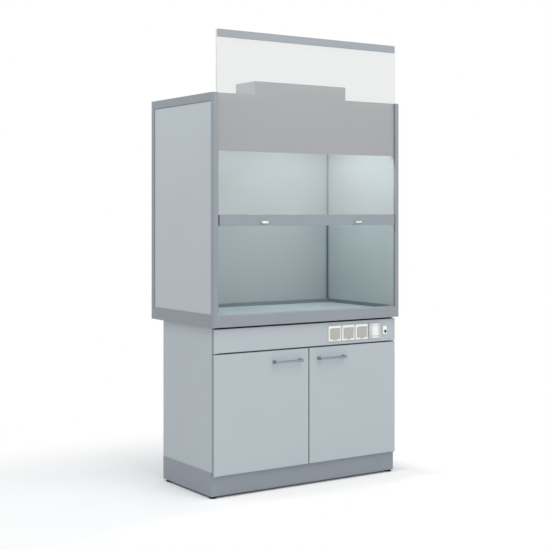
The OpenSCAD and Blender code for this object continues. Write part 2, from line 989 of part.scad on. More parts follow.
// Round bar between two thicker posts with domed ends
module door_handle(right) {
    bar_y = door_set - handle_reach + handle_post_d / 2;
    dome = 3;
    color("#b9bdc1")
        on_side(right)
            translate([outer_x - handle_x, bar_y, door_z + door_h - handle_drop]) {
                translate([-handle_pitch / 2, 0, 0])
                    rotate([0, 90, 0])
                        cylinder(h = handle_pitch, d = handle_d);
                for (side = [-1, 1])
                    translate([side * handle_pitch / 2, door_set - bar_y, 0])
                        rotate([90, 0, 0])
                            rotate_extrude()
                                difference() {
                                    square([handle_post_d / 2, handle_reach]);
                                    translate([handle_post_d / 2 - dome, handle_reach - dome])
                                        difference() {
                                            square(dome + 1);
                                            circle(dome);
                                        }
                                }
            }
}

// Children with X and Z from a plate's middle and Y from the control panel's face
module on_panel(x) {
    translate([x, front_y + door_set, plate_z])
        children();
}

// A flat plate with round corners, standing on the control panel
module face_plate(w, h, t) {
    corner = 3;
    rotate([90, 0, 0])
        linear_extrude(t)
            translate([-w / 2, -h / 2])
                rounded([w, h], corner);
}

module socket_frames() {
    ear_x = lid_w / 2 + touch_gap;
    ear_w = 3.5;
    ear_r = 3.5;
    contact_x = 9.5;
    contact_r = 2.5;
    contact_d = 8;
    color("#f4f4ee")
        for (x = socket_x)
            on_panel(x)
                difference() {
                    union() {
                        face_plate(plate_w, plate_w, plate_t);
                        rotate([-90, 0, 0])
                            cylinder(h = back_box_d, r = back_box_r);
                        for (side = [-ear_x - ear_w, ear_x])
                            block(
                                [side, -lid_axis_y - ear_r, lid_axis_z - ear_r],
                                [side + ear_w, 1 - plate_t, lid_axis_z + ear_r]
                            );
                    }
                    translate([0, -plate_t - 1, 0])
                        rotate([-90, 0, 0])
                            cylinder(h = well_d + 1, r = well_r);
                    for (side = [-contact_x, contact_x])
                        translate([side, 0, 0])
                            rotate([-90, 0, 0])
                                cylinder(h = well_d + contact_d, r = contact_r);
                    translate([0, -lid_axis_y, lid_axis_z])
                        rotate([0, 90, 0])
                            cylinder(h = plate_w, r = lid_pin_r + run_gap, center = true);
                }
}

// A flap on two pin ends, with a finger tab below
module socket_lid(i) {
    back = lid_barrel_r;
    low = back - lid_h;
    tab = [26, 16];
    tab_h = 4;
    tab_rise = 3;
    tab_proud = 1.5;
    color("#b5b5b3")
        on_panel(socket_x[i])
            translate([0, -lid_axis_y, lid_axis_z]) {
                rotate([0, 90, 0])
                    cylinder(h = lid_w, r = lid_barrel_r, center = true);
                rotate([0, 90, 0])
                    cylinder(h = lid_w + 2 * pin_reach, r = lid_pin_r, center = true);
                block([-lid_w / 2, back - lid_t, low], [lid_w / 2, back, 0]);
                translate([0, back, low])
                    rotate([90, 0, 0])
                        linear_extrude(lid_t + tab_proud)
                            polygon([
                                [-tab[0] / 2, tab_rise], [-tab[1] / 2, -tab_h],
                                [tab[1] / 2, -tab_h], [tab[0] / 2, tab_rise]
                            ]);
            }
}

module switch_frames() {
    color("#f4f4ee") {
        on_panel(plate_x) {
            difference() {
                face_plate(plate_w, plate_w, plate_t);
                block(
                    [-rocker_w / 2 - touch_gap, -plate_t - 1, -rocker_h / 2 - 1],
                    [rocker_w / 2 + touch_gap, 1, rocker_h / 2 + 1]
                );
                translate([0, -rocker_axis_y, 0])
                    rotate([0, 90, 0])
                        cylinder(h = rocker_w + 2 * pin_reach + 1, r = lid_pin_r + run_gap, center = true);
            }
            rotate([-90, 0, 0])
                cylinder(h = back_box_d, r = back_box_r);
        }
        on_panel(fan_x) {
            difference() {
                face_plate(fan_w, fan_h, fan_t);
                block(
                    [-fan_w / 2 + fan_edge, -fan_t - 1, -fan_h / 2 + fan_edge],
                    [fan_w / 2 - fan_edge, 1, fan_h / 2 - fan_edge]
                );
                translate([0, -fan_axis_y, 0])
                    rotate([0, 90, 0])
                        cylinder(h = fan_w - fan_edge + 1, r = fan_pin_r + run_gap, center = true);
            }
            block([-fan_box[0] / 2, 0, -fan_box[1] / 2], [fan_box[0] / 2, fan_box_d, fan_box[1] / 2]);
        }
    }
}

// Rocker from its axis, with a face that bulges between its sides
module rocker(w, h, back, front, bulge, pin_w, pin_r) {
    face_r = (w * w / 4 + bulge * bulge) / (2 * bulge);
    intersection() {
        block([-w / 2, -front, -h / 2], [w / 2, back, h / 2]);
        translate([0, face_r - front, 0])
            cylinder(h = h + 1, r = face_r, center = true, $fn = 360);
    }
    rotate([0, 90, 0])
        cylinder(h = pin_w, r = pin_r, center = true);
}

module light_switch_rocker() {
    color("#dededc")
        on_panel(plate_x)
            translate([0, -rocker_axis_y, 0])
                rotate([-rocker_tilt, 0, 0])
                    rocker(
                        rocker_w, rocker_h, 1.5, plate_t - rocker_axis_y + rocker_bulge,
                        rocker_bulge, rocker_w + 2 * pin_reach, lid_pin_r
                    );
}

module fan_switch_button() {
    w = fan_w - 2 * fan_edge - 1;
    h = fan_h - 2 * fan_edge - 1.6;
    front = fan_t - fan_axis_y + 1;
    lens_drop = 7;
    lens_h = 3;
    color("#f4f4ee")
        on_panel(fan_x)
            translate([0, -fan_axis_y, 0])
                rotate([-rocker_tilt, 0, 0]) {
                    rocker(w, h, 1, front, 1, fan_w - fan_edge, fan_pin_r);
                    translate([0, 0.5 - front, -lens_drop])
                        rotate([90, 0, 0])
                            cylinder(h = lens_h, d1 = w - 2, d2 = w - 5);
                }
}

// A disc with a hexagonal neck and a threaded stud
module foot(right, row) {
    neck = (foot_gap - foot_t) / 2;
    color("#1c1d1f")
        translate([right ? foot_x : -foot_x, front_y + foot_y[row], 0]) {
            cylinder(h = foot_t, d = foot_d);
            cylinder(h = foot_t + neck, d = stud_d + 10, $fn = 6);
            cylinder(h = foot_t + stud_l, d = stud_d);
        }
}

front_post(false);  // post_front_left
front_post(true);  // post_front_right
rear_post(false);  // post_rear_left
rear_post(true);  // post_rear_right
sill_beam();
base_frame();
top_frame();
side_panel(false);  // side_panel_left
side_panel(true);  // side_panel_right
side_liner(false);  // side_liner_left
side_liner(true);  // side_liner_right
back_panel();
corner_trims();
fascia();
roof_panel();
worktop();
exhaust_collar();
lamp_housing();
lamp_pane();
lamp_tubes();
lamp_holders();
sash_seals();
pulley_brackets();
weight_guides();
cable_bends();
cable_drops(cable_set, sash_z + rail_h);  // cable_drops_front
cable_drops(drop_y, weight_z + weight_h + lug_h);  // cable_drops_rear
sash_glass();
sash_top_rail();
sash_bottom_rail();
sash_pulls();
sash_shoes();
counterweight(false);  // counterweight_left
counterweight(true);  // counterweight_right
pulley(false);  // pulley_left
pulley(true);  // pulley_right
cabinet_side(false);  // cabinet_side_left
cabinet_side(true);  // cabinet_side_right
cabinet_board(carcass_z, 0);  // cabinet_bottom
cabinet_back();
cabinet_board(carcass_z + board_t + shelf_z, 20);  // cabinet_shelf
cabinet_board(deck_z, 0);  // service_deck
control_panel();
plinth();
hinge_brackets();
door(false);  // door_left
door(true);  // door_right
door_handle(false);  // door_handle_left
door_handle(true);  // door_handle_right
socket_frames();
socket_lid(0);  // socket_lid_left
socket_lid(1);  // socket_lid_middle
socket_lid(2);  // socket_lid_right
switch_frames();
light_switch_rocker();
fan_switch_button();
foot(false, 0);  // foot_front_left
foot(true, 0);  // foot_front_right
foot(false, 1);  // foot_rear_left
foot(true, 1);  // foot_rear_right
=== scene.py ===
import math

import bmesh
import bpy
from mathutils import Matrix, Vector


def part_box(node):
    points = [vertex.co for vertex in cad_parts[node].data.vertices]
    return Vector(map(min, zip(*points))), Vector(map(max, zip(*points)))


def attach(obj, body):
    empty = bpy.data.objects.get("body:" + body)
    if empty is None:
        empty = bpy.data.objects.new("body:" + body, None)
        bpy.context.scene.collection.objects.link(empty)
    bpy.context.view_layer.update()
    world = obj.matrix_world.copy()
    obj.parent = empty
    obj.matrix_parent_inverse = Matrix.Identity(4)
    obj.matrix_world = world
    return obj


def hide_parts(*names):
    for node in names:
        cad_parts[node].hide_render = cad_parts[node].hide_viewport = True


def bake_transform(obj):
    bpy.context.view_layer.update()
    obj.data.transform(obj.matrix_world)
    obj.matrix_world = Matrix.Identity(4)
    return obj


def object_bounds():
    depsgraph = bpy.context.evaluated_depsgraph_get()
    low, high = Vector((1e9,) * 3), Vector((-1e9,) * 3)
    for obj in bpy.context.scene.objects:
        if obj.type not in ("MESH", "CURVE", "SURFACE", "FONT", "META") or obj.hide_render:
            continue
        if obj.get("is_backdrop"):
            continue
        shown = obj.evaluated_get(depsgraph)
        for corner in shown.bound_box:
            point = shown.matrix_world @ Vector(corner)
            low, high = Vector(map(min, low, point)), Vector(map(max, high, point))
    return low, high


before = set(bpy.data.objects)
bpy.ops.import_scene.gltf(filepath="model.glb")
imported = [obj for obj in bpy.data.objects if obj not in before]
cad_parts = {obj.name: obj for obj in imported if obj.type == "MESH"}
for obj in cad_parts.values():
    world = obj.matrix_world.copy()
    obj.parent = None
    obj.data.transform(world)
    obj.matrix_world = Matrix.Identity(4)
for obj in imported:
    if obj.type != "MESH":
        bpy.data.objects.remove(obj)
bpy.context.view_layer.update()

# Studio
# The hood stands in a white room, in soft light from all round and a little more from above and
# the left. The camera is level and its picture is shifted down, so that posts stay upright.
photo_size = 550
focal_pixels = 1181.0
horizon_row = 212.05
sensor_mm = 36.0
camera_place = (-3.589, -5.3675, 1.4373)
camera_turn = math.radians(-33.63)
view_reach = 100.0

camera_data = bpy.data.cameras.new("camera")
camera_data.sensor_width = sensor_mm
camera_data.lens = sensor_mm * focal_pixels / photo_size
camera_data.shift_y = (horizon_row - photo_size / 2) / photo_size
camera_data.clip_end = view_reach
camera = bpy.data.objects.new("camera", camera_data)
camera.location = camera_place
camera.rotation_euler = (math.radians(90), 0, camera_turn)
bpy.context.collection.objects.link(camera)
bpy.context.scene.camera = camera
bpy.context.scene.view_settings.view_transform = "Standard"


def linear(hex_colour):
    """An sRGB hex colour as linear RGBA."""
    parts = [int(hex_colour[i:i + 2], 16) / 255 for i in (1, 3, 5)]
    return [c / 12.92 if c <= 0.04045 else ((c + 0.055) / 1.055) ** 2.4 for c in parts] + [1.0]


def add_node(tree, kind, inputs=None, **settings):
    """A new node with its settings, its values and its links."""
    made = tree.nodes.new(kind)
    for name, value in settings.items():
        setattr(made, name, value)
    for name, value in (inputs or {}).items():
        if isinstance(value, bpy.types.NodeSocket):
            tree.links.new(value, made.inputs[name])
        else:
            made.inputs[name].default_value = value
    return made


def new_material(name):
    """An empty node material: its material, tree, output and place nodes."""
    material = bpy.data.materials.new(name)
    material.use_nodes = True
    tree = material.node_tree
    tree.nodes.clear()
    return (material, tree, tree.nodes.new("ShaderNodeOutputMaterial"),
            tree.nodes.new("ShaderNodeTexCoord"))


def seen_directly(tree, glossy):
    """1 for what the camera, glass and, if asked, metal show of the room."""
    rays = add_node(tree, "ShaderNodeLightPath")
    seen = add_node(tree, "ShaderNodeMath",
                    {0: rays.outputs["Is Camera Ray"], 1: rays.outputs["Is Transmission Ray"]},
                    operation="MAXIMUM")
    if glossy:
        seen = add_node(tree, "ShaderNodeMath",
                        {0: seen.outputs[0], 1: rays.outputs["Is Glossy Ray"]},
                        operation="MAXIMUM")
    return seen.outputs[0]


# The room lights the hood evenly, and looks plain white itself and through glass.
room_light = 0.72
world = bpy.data.worlds.new("white room")
bpy.context.scene.world = world
world.use_nodes = True
tree = world.node_tree
tree.nodes.clear()
lit = add_node(tree, "ShaderNodeBackground", {"Color": linear("#fefeff"), "Strength": room_light})
shown = add_node(tree, "ShaderNodeBackground", {"Color": (1, 1, 1, 1), "Strength": 1.0})
mixed = add_node(tree, "ShaderNodeMixShader",
                 {0: seen_directly(tree, False), 1: lit.outputs[0], 2: shown.outputs[0]})
add_node(tree, "ShaderNodeOutputWorld", {"Surface": mixed.outputs[0]})

# The floor is a matt white sheet. It holds the hood's shadow, and fades into the white room.
# Close in front of the plinth the floor is bright, so most of the shadow is lifted there.
floor_reach = 30.0
half_width = 0.6
fade_front_left = -1.0
fade_front_right = -0.5
lift_share = 0.6
lift_start = 0.015
lift_fade = 0.2
lift_inset = 0.02
floor_mesh = bpy.data.meshes.new("floor")
floor_mesh.from_pydata(
    [(-floor_reach, -floor_reach, 0), (floor_reach, -floor_reach, 0),
     (floor_reach, floor_reach, 0), (-floor_reach, floor_reach, 0)], [], [(0, 1, 2, 3)])
floor = bpy.data.objects.new("floor", floor_mesh)
bpy.context.collection.objects.link(floor)
material, tree, output, place = new_material("matt white floor")
shaded = add_node(tree, "ShaderNodeBsdfDiffuse", {"Color": linear("#f6f6f6")})
white = add_node(tree, "ShaderNodeEmission", {"Color": (1, 1, 1, 1), "Strength": 1.0})
parts = add_node(tree, "ShaderNodeSeparateXYZ", {"Vector": place.outputs["Object"]})
front_end = add_node(tree, "ShaderNodeMapRange",
                     {"Value": parts.outputs["X"], "From Min": -half_width,
                      "From Max": half_width, "To Min": fade_front_left,
                      "To Max": fade_front_right})
# Each row gives an axis, the place where the fade begins, and the place where all is white.
shadow_edges = [("X", -half_width, -3.0), ("X", 0.57, 0.85), ("Y", 0.35, 1.6),
                ("Y", -0.3, front_end.outputs[0])]
fade = None
for axis, begin, finish in shadow_edges:
    edge = add_node(tree, "ShaderNodeMapRange",
                    {"Value": parts.outputs[axis], "From Min": begin, "From Max": finish},
                    interpolation_type="SMOOTHSTEP")
    fade = edge if fade is None else add_node(
        tree, "ShaderNodeMath", {0: fade.outputs[0], 1: edge.outputs[0]}, operation="MAXIMUM")
plinth_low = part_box("plinth")[0]
before = add_node(tree, "ShaderNodeMapRange",
                  {"Value": parts.outputs["Y"], "From Min": plinth_low.y,
                   "From Max": plinth_low.y - lift_start, "To Max": lift_share})
beside = add_node(tree, "ShaderNodeMapRange",
                  {"Value": parts.outputs["X"], "From Min": plinth_low.x - lift_fade,
                   "From Max": plinth_low.x + lift_inset},
                  interpolation_type="SMOOTHSTEP")
lift = add_node(tree, "ShaderNodeMath", {0: before.outputs[0], 1: beside.outputs[0]},
                operation="MULTIPLY")
fade = add_node(tree, "ShaderNodeMath", {0: fade.outputs[0], 1: lift.outputs[0]},
                operation="MAXIMUM")
share = add_node(tree, "ShaderNodeMath", {0: fade.outputs[0], 1: seen_directly(tree, True)},
                 operation="MULTIPLY")
mixed = add_node(tree, "ShaderNodeMixShader",
                 {0: share.outputs[0], 1: shaded.outputs[0], 2: white.outputs[0]})
tree.links.new(mixed.outputs[0], output.inputs["Surface"])
floor_mesh.materials.append(material)
floor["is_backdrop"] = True


def soft_lamp(name, place, aim, size, watts, depth=None, colour="#ffffff"):
    """A soft rectangular lamp that looks at a point. The camera doesn't see it."""
    data = bpy.data.lights.new(name, "AREA")
    data.shape = "RECTANGLE"
    data.size = size
    data.size_y = depth or size
    data.energy = watts
    data.color = linear(colour)[:3]
    lamp = bpy.data.objects.new(name, data)
    lamp.location = place
    lamp.visible_camera = False
    lamp.rotation_euler = (Vector(aim) - Vector(place)).to_track_quat("-Z", "Y").to_euler()
    bpy.context.collection.objects.link(lamp)


soft_lamp("side lamp", place=(-1.9, 0.1, 4.0), aim=(-0.6, 0, 1.5), size=1.3, watts=34,
          colour="#f4fbff")
soft_lamp("top lamp", place=(0.1, -2.6, 3.9), aim=(0, -0.3, 1.5), size=2.4, watts=44)
soft_lamp("front lamp", place=(0.4, -7.0, 2.4), aim=(0, 0, 1.0), size=4.0, watts=60)


# Frame
# Posts, beams and sill are aluminium profiles, cut square and screwed together inside, then
# powder coated in a blue grey. The base and top frames' coats are tinted a shade apart from the
# posts', as painted light and shade.
def painted(tree, place, colour, zones):
    """A colour, with others beyond limits of place ("Object") or of facing ("Normal").

    The axis "X" counts one way, "-X" counts the other way, and "|X" counts both ways.
    """
    tint = linear(colour)
    ways = {"-": "MULTIPLY", "|": "ABSOLUTE"}
    for source, axis, limit, other in zones:
        parts = add_node(tree, "ShaderNodeSeparateXYZ", {"Vector": place.outputs[source]})
        reach = parts.outputs[axis[-1]]
        if axis[0] in ways:
            reach = add_node(tree, "ShaderNodeMath", {0: reach, 1: -1.0},
                             operation=ways[axis[0]]).outputs[0]
        beyond = add_node(tree, "ShaderNodeMath", {0: reach, 1: limit}, operation="GREATER_THAN")
        tint = add_node(tree, "ShaderNodeMix",
                        {0: beyond.outputs[0], 6: tint, 7: linear(other)},
                        data_type="RGBA").outputs[2]
    return tint


# Noise seldom leaves this range, so what follows it is stretched from there.
noise_range = {"From Min": 0.3, "From Max": 0.7}


def powder_coat(name, colour, roughness=0.42, zones=(), peel_mm=3.0, cloud_mm=250.0):
    """Baked polyester powder: a satin colour with a fine orange peel and a faint cloudiness."""
    colour_swing = 0.015
    gloss_swing = 0.03
    peel_depth = 0.0005
    material, tree, output, place = new_material(name)
    clouds = add_node(tree, "ShaderNodeTexNoise",
                      {"Vector": place.outputs["Object"], "Scale": 1000 / cloud_mm, "Detail": 3.0})
    shift = add_node(tree, "ShaderNodeMapRange",
                     {"Value": clouds.outputs["Fac"], **noise_range,
                      "To Min": 1 - colour_swing, "To Max": 1 + colour_swing})
    tinted = add_node(tree, "ShaderNodeHueSaturation",
                      {"Color": painted(tree, place, colour, zones), "Value": shift.outputs[0]})
    gloss = add_node(tree, "ShaderNodeMapRange",
                     {"Value": clouds.outputs["Fac"], **noise_range,
                      "To Min": roughness - gloss_swing, "To Max": roughness + gloss_swing})
    peel = add_node(tree, "ShaderNodeTexNoise",
                    {"Vector": place.outputs["Object"], "Scale": 1000 / peel_mm, "Detail": 1.0})
    bump = add_node(tree, "ShaderNodeBump",
                    {"Height": peel.outputs["Fac"], "Strength": 0.05, "Distance": peel_depth})
    shader = add_node(tree, "ShaderNodeBsdfPrincipled",
                      {"Base Color": tinted.outputs[0], "Roughness": gloss.outputs[0],
                       "Specular IOR Level": 0.35, "Normal": bump.outputs[0]})
    tree.links.new(shader.outputs[0], output.inputs["Surface"])
    return material


def dress(names, material, edge_mm=0.0, steps=2):
    """Gives CAD nodes a finish, and rounds their sharp edges a little."""
    sharp = math.radians(50)
    for name in names:
        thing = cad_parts[name]
        thing.data.materials.clear()
        thing.data.materials.append(material)
        if edge_mm:
            soften = thing.modifiers.new("soft edges", "BEVEL")
            soften.width = edge_mm / 1000
            soften.segments = steps
            soften.limit_method = "ANGLE"
            soften.angle_limit = sharp
            soften.harden_normals = True


frame_coat = powder_coat("blue-grey powder coat", "#8e949b")
dress(["post_front_left", "post_front_right", "post_rear_left", "post_rear_right", "sill_beam"],
      frame_coat, edge_mm=0.8)
# The base frame's coat is tinted darker as painted shade, and the top frame's as painted light and
# shade.
dress(["base_frame"], powder_coat("base frame coat tinted as painted shade", "#8c9198"), edge_mm=0.8)
dress(["top_frame"], powder_coat("top frame coat tinted as painted light and shade", "#8d9298"), edge_mm=0.8)


# Side panels
# Powder-coated steel sheets in the posts' rebates, a few millimetres behind the frame's faces.
# Their coat is paler and more matt. A thin dark line along each one's top and rear edges is
# painted shade, where the recessed sheet meets the frame.
panel_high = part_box("side_panel_left")[1]
# Width of the painted shade line along the panels' top and rear edges.
edge_shade_mm = 2.5
panel_edge_shade = [("Object", "Z", panel_high.z - edge_shade_mm / 1000, "#66727a"),
              ("Object", "Y", panel_high.y - edge_shade_mm / 1000, "#66727a")]
dress(["side_panel_left", "side_panel_right"],
      powder_coat("pale powder coat", "#b5bcc0", roughness=0.5, zones=panel_edge_shade))


# Chamber
# The walls and the roof are sheets of pressed solid laminate, cut to size. It is matt, with a
# fine grain, in a pale sea grey. The side liners are painted a shade lighter than the back and the
# roof, as painted light.
def plastic(name, colour, roughness=0.55, zones=(), grain_mm=1.6, cloud_mm=330.0):
    """Pressed or moulded plastic: an even colour with a fine grain, drawn coarser than it is."""
    colour_swing = 0.01
    gloss_swing = 0.04
    grain_depth = 0.0004
    material, tree, output, place = new_material(name)
    clouds = add_node(tree, "ShaderNodeTexNoise",
                      {"Vector": place.outputs["Object"], "Scale": 1000 / cloud_mm, "Detail": 2.0})
    shift = add_node(tree, "ShaderNodeMapRange",
                     {"Value": clouds.outputs["Fac"], **noise_range,
                      "To Min": 1 - colour_swing, "To Max": 1 + colour_swing})
    tinted = add_node(tree, "ShaderNodeHueSaturation",
                      {"Color": painted(tree, place, colour, zones), "Value": shift.outputs[0]})
    grain = add_node(tree, "ShaderNodeTexNoise",
                     {"Vector": place.outputs["Object"], "Scale": 1000 / grain_mm, "Detail": 2.0})
    gloss = add_node(tree, "ShaderNodeMapRange",
                     {"Value": grain.outputs["Fac"], **noise_range,
                      "To Min": roughness - gloss_swing, "To Max": roughness + gloss_swing})
    bump = add_node(tree, "ShaderNodeBump",
                    {"Height": grain.outputs["Fac"], "Strength": 0.05, "Distance": grain_depth})
    shader = add_node(tree, "ShaderNodeBsdfPrincipled",
                      {"Base Color": tinted.outputs[0], "Roughness": gloss.outputs[0],
                       "Specular IOR Level": 0.3, "Normal": bump.outputs[0]})
    tree.links.new(shader.outputs[0], output.inputs["Surface"])
    return material


dress(["back_panel", "roof_panel"], plastic("chamber laminate", "#99a3a5"))
# The side liners' laminate is tinted lighter than the back's, as painted light.
dress(["side_liner_left", "side_liner_right"], plastic("side liner laminate with painted light", "#a4afb1"))


# Back screws
# Pan-head screws in two rows hold the back panel to the angles in the chamber's rear corners.
# They are pressed from steel and zinc plated, 8 mm across, with a round recess for the driver.
def bare_metal(name, colour, roughness=0.36, crystal_mm=7.0):
    """Plated or rolled metal, whose soft gloss changes a little from crystal to crystal.

    The crystals are drawn coarser than they are, but for the large ones of galvanised steel.
    """
    gloss_swing = 0.07
    material, tree, output, place = new_material(name)
    crystals = add_node(tree, "ShaderNodeTexVoronoi",
                        {"Vector": place.outputs["Object"], "Scale": 1000 / crystal_mm})
    gloss = add_node(tree, "ShaderNodeMapRange",
                     {"Value": crystals.outputs["Distance"], "To Min": roughness - gloss_swing,
                      "To Max": roughness + gloss_swing})
    shader = add_node(tree, "ShaderNodeBsdfPrincipled",
                      {"Base Color": linear(colour), "Metallic": 1.0,
                       "Roughness": gloss.outputs[0]})
    tree.links.new(shader.outputs[0], output.inputs["Surface"])
    return material


def turned(mesh_work, profile, place, axis, steps=24, squeeze=1.0):
    """Revolves (radius, height) points in millimetres about an axis through a place in metres.

    A squeeze other than 1 makes the turned shape oval.
    """
    turn = Vector((0, 0, 1)).rotation_difference(Vector(axis)).to_matrix().to_4x4()
    seat = Matrix.Translation(Vector(place)) @ turn
    rings = []
    for radius, height in profile:
        angles = [2 * math.pi * i / steps for i in range(steps)] if radius else [0.0]
        rings.append([mesh_work.verts.new(seat @ Vector(
            (radius * math.cos(a) / 1000, squeeze * radius * math.sin(a) / 1000, height / 1000)))
            for a in angles])
    for ring, following in zip(rings, rings[1:]):
        for i in range(steps):
            j = (i + 1) % steps
            corners = [ring[i % len(ring)], ring[j % len(ring)],
                       following[j % len(following)], following[i % len(following)]]
            corners = list(dict.fromkeys(corners))
            if len(corners) > 2:
                mesh_work.faces.new(corners)


def piece(name, mesh_work, material, body):
    """Turns finished mesh work into a piece with a finish, riding on a body if one is given."""
    weld_reach = 0.000001
    crease = math.radians(40)
    bmesh.ops.remove_doubles(mesh_work, verts=mesh_work.verts, dist=weld_reach)
    bmesh.ops.recalc_face_normals(mesh_work, faces=mesh_work.faces)
    mesh = bpy.data.meshes.new(name)
    mesh_work.to_mesh(mesh)
    mesh_work.free()
    mesh.materials.append(material)
    mesh.shade_smooth()
    mesh.set_sharp_from_angle(angle=crease)
    made = bpy.data.objects.new(name, mesh)
    bpy.context.collection.objects.link(made)
    if body:
        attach(made, body)
    return made


# The plating is a soft blue-white grey that blurs what it mirrors.
zinc = bare_metal("zinc-plated steel", "#a9adb2")
pan_head = [(0, 0.9), (1.3, 0.9), (1.3, 2.2), (2.2, 2.1), (3.2, 1.7), (3.8, 0.9),
            (4.0, 0), (4.0, -0.3), (0, -0.3)]
back_low, back_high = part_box("back_panel")
screw_x = 0.5545
screw_edge = 0.05
screw_rows = 6
screws = bmesh.new()
for x in (-screw_x, screw_x):
    for i in range(screw_rows):
        share = i / (screw_rows - 1)
        z = (back_low.z + screw_edge) * (1 - share) + (back_high.z - screw_edge) * share
        turned(screws, pan_head, (x, back_high.y, z), (0, 1, 0))
piece("back_screws", screws, zinc, "hood")


# Corner angles and skirting
# Dark extruded plastic angles cover the chamber's upright rear corners, and a strip skirts the
# worktop, painted darker as painted shade along the worktop's back. Each is satin, and uneven
# along its length as extrusions are. Along each angle's fold a dark line is painted shade in the
# corner.
material, tree, output, place = new_material("dark extruded plastic with painted shade")
# Below the back panel's foot the plastic is painted darker, as painted shade over the worktop.
tint = painted(tree, place, "#717c84", [("Object", "Z", back_low.z, "#8a969e")])
# Width of the dark line of painted shade along each angle's fold.
fold_shade_mm = 8.0
trim_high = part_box("corner_trims")[1]
parts = add_node(tree, "ShaderNodeSeparateXYZ", {"Vector": place.outputs["Object"]})
aside = add_node(tree, "ShaderNodeMath", {0: parts.outputs["X"]}, operation="ABSOLUTE")
corner = add_node(tree, "ShaderNodeMath", {0: aside.outputs[0], 1: parts.outputs["Y"]},
                  operation="ADD")
fold_shade = add_node(tree, "ShaderNodeMath",
                  {0: corner.outputs[0], 1: trim_high.x + back_low.y - fold_shade_mm / 1000},
                  operation="GREATER_THAN")
tint = add_node(tree, "ShaderNodeMix",
                {0: fold_shade.outputs[0], 6: tint, 7: linear("#515b62")}, data_type="RGBA")
drawn_mm = 3.0
lines = add_node(tree, "ShaderNodeTexNoise",
                 {"Vector": place.outputs["Object"], "Scale": 1000 / drawn_mm})
gloss = add_node(tree, "ShaderNodeMapRange",
                 {"Value": lines.outputs["Fac"], "To Min": 0.4, "To Max": 0.55})
shader = add_node(tree, "ShaderNodeBsdfPrincipled",
                  {"Base Color": tint.outputs[2], "Roughness": gloss.outputs[0],
                   "Specular IOR Level": 0.3})
tree.links.new(shader.outputs[0], output.inputs["Surface"])
dress(["corner_trims"], material, edge_mm=0.3)


# Worktop
# One thick board of the same solid laminate, pressed smoother than the walls and a little
# glossier. It is laid on three bearers.
dress(["worktop"], plastic("worktop laminate", "#a7b3b5", roughness=0.4), edge_mm=0.6)


# Fascia
# A steel sheet folded along its lower edge, hung on the front beam behind the sash. Its powder
# coat is a plain grey with no blue in it.
dress(["fascia"], powder_coat("plain grey powder coat", "#9f9ea1"), edge_mm=0.5)


# Exhaust collar
# A collar rolled from galvanised steel, spot welded to a flange. The zinc shows as crystals 12 mm
# wide. Eight screws hold the flange to the roof, on a circle between the collar and its edge.
dress(["exhaust_collar"],
      bare_metal("galvanised steel", "#b9bdc1", roughness=0.42, crystal_mm=12.0), edge_mm=0.3)
collar_low, collar_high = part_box("exhaust_collar")
collar_middle = (collar_low + collar_high) / 2
collar_sheet = 0.0015
flange_circle_r = 0.109
flange_screws = 8
screws = bmesh.new()
for i in range(flange_screws):
    angle = 2 * math.pi * (i + 0.5) / flange_screws
    place = (collar_middle.x + flange_circle_r * math.cos(angle),
             collar_middle.y + flange_circle_r * math.sin(angle), collar_low.z + collar_sheet)
    turned(screws, pan_head, place, (0, 0, 1))
piece("collar_screws", screws, zinc, "hood")


# Lamp
# A folded steel box on the roof, powder coated, its forward-facing faces coloured greyer. In it
# two tubes hang in moulded nylon holders over a pane of glass. The tubes are frosted glass that
# glows evenly, with metal end caps.
box_front = [("Normal", "-Y", 0.5, "#a2a0a4")]
dress(["lamp_housing"],
      powder_coat("pale lamp box coat", "#b0b4b5", roughness=0.5, zones=box_front), edge_mm=0.8)


def glazing(name, colour, film):
    """Float glass under a faint milky film, which veils what is behind. Its shadow is light."""
    material, tree, output, place = new_material(name)
    shader = add_node(tree, "ShaderNodeBsdfPrincipled",
                      {"Base Color": linear(colour), "Roughness": 0.0, "IOR": 1.5,
                       "Transmission Weight": 1.0 - film})
    clear = add_node(tree, "ShaderNodeBsdfTransparent", {"Color": linear(colour)})
    rays = add_node(tree, "ShaderNodeLightPath")
    mixed = add_node(tree, "ShaderNodeMixShader",
                     {0: rays.outputs["Is Shadow Ray"], 1: shader.outputs[0],
                      2: clear.outputs[0]})
    tree.links.new(mixed.outputs[0], output.inputs["Surface"])
    return material


dress(["lamp_pane"], glazing("clear float glass", "#f6fbfa", film=0.0))
material, tree, output, place = new_material("lit frosted tube")
cap_w = 0.012
parts = add_node(tree, "ShaderNodeSeparateXYZ", {"Vector": place.outputs["Object"]})
along = add_node(tree, "ShaderNodeMath", {0: parts.outputs["X"]}, operation="ABSOLUTE")
cap = add_node(tree, "ShaderNodeMath",
               {0: along.outputs[0], 1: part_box("lamp_tubes")[1].x - cap_w},
               operation="GREATER_THAN")
glass = add_node(tree, "ShaderNodeBsdfPrincipled",
                 {"Base Color": linear("#f7f7f4"), "Roughness": 0.3,
                  "Emission Color": linear("#fffdf8"), "Emission Strength": 14.0})
metal = add_node(tree, "ShaderNodeBsdfPrincipled",
                 {"Base Color": linear("#c5c8cb"), "Metallic": 1.0, "Roughness": 0.35})
mixed = add_node(tree, "ShaderNodeMixShader",
                 {0: cap.outputs[0], 1: glass.outputs[0], 2: metal.outputs[0]})
tree.links.new(mixed.outputs[0], output.inputs["Surface"])
dress(["lamp_tubes"], material)
dress(["lamp_holders"], plastic("white moulded nylon", "#efefeb", roughness=0.3), edge_mm=1.0)

